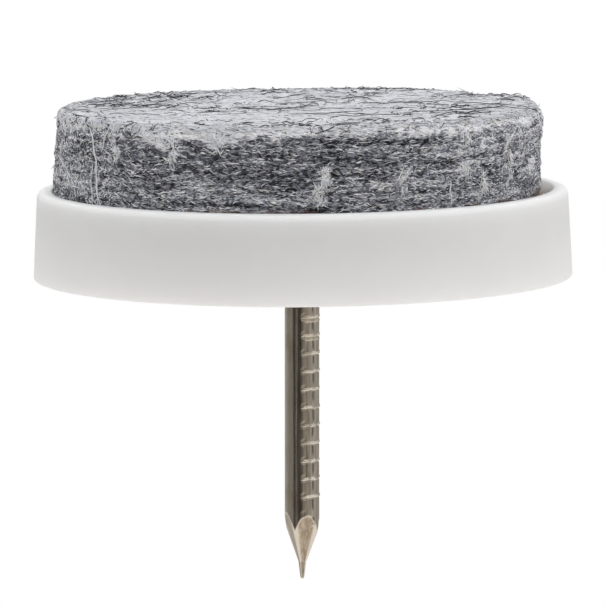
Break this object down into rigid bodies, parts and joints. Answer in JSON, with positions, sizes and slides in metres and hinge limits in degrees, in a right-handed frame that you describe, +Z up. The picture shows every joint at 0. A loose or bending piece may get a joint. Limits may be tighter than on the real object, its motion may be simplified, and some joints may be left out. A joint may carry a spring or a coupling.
{
  "type": "nail-on felt furniture glide",
  "caption": "Round plastic glide with a thick felt disc in its recess and a ridged diamond-point nail, driven into the end of a furniture leg so that it slides without scratching the floor.",
  "frame": {"origin": "on the floor, under the axis of the nail and cup", "axes": "+Z up along the nail, from the felt to the point; +X towards the side where the felt lies closest to the rim"},
  "size_m": [0.032, 0.032, 0.0285],
  "materials": {
    "cup_plastic": "satin moulded white",
    "nail_steel": "bright drawn wire, warm grey",
    "glue": "amber glue",
    "felt": "needle-punched salt and pepper grey felt"
  },
  "bodies": {
    "root": {"base_cup": "cup_plastic", "nail": "nail_steel", "adhesive_layer": "glue", "felt_pad": "felt"}
  },
  "joints": []
}
